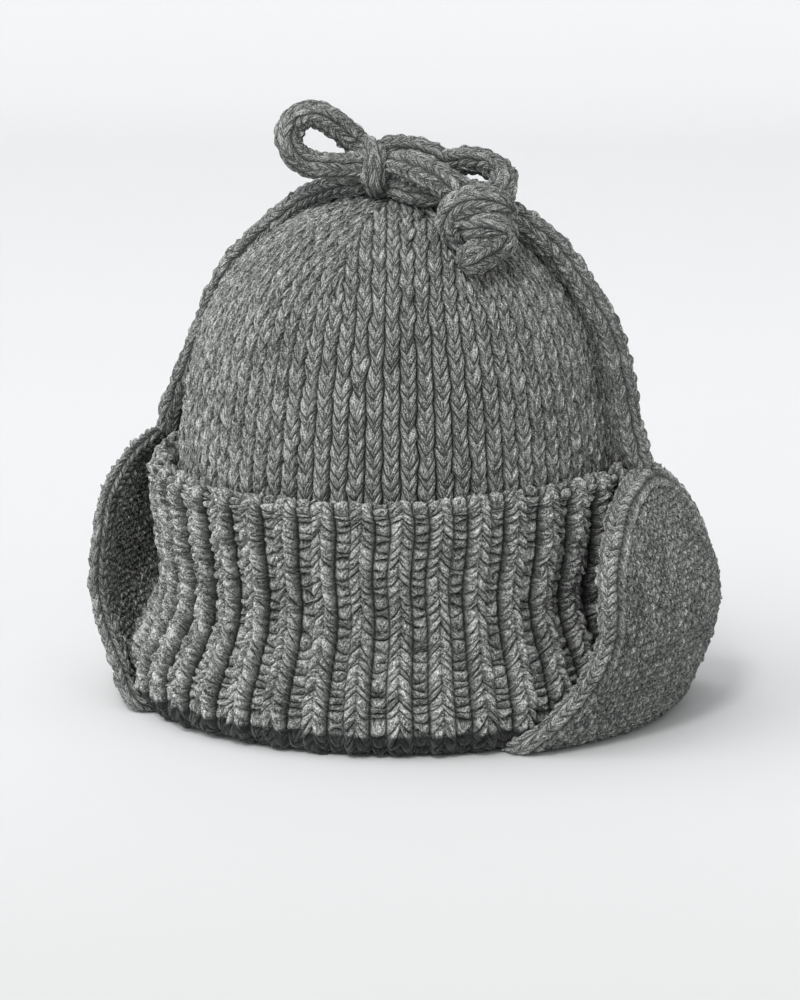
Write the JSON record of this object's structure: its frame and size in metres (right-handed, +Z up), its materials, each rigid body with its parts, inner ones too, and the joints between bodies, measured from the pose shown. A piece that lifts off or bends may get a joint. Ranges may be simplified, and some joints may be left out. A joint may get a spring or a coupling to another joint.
{
  "type": "knit earflap cap",
  "caption": "Bulky grey wool knit cap with a turned-up ribbed cuff, ear flaps folded up at the sides and their tie cords drawn up and tied in a bow on the crown.",
  "frame": {"origin": "on the surface that the cap stands on, under the middle of the cap", "axes": "+Z up; the ear flaps lie toward +X and -X; the front, which the bow's tied end falls toward, is -Y"},
  "size_m": [0.2812, 0.2338, 0.2663],
  "materials": {
    "crown_knit": "stockinette in heather grey bulky wool",
    "rib_knit": "one by one rib in heather grey bulky wool",
    "flap_knit": "close fine-faced knit in heather grey wool",
    "edging_knit": "band of two knit columns in heather grey wool",
    "cord_knit": "knitted i-cord in heather grey wool"
  },
  "bodies": {
    "root": {"crown": "crown_knit", "cuff": "rib_knit", "ear_flap_left": "flap_knit", "ear_flap_right": "flap_knit", "flap_edging_left": "edging_knit", "flap_edging_right": "edging_knit", "tie_cord_left": "cord_knit", "tie_cord_right": "cord_knit", "bow_knot": "cord_knit", "bow_loop_left": "cord_knit", "bow_loop_right": "cord_knit", "bow_end_front": "cord_knit", "end_knot_front": "cord_knit", "bow_end_back": "cord_knit", "end_knot_back": "cord_knit"}
  },
  "joints": []
}
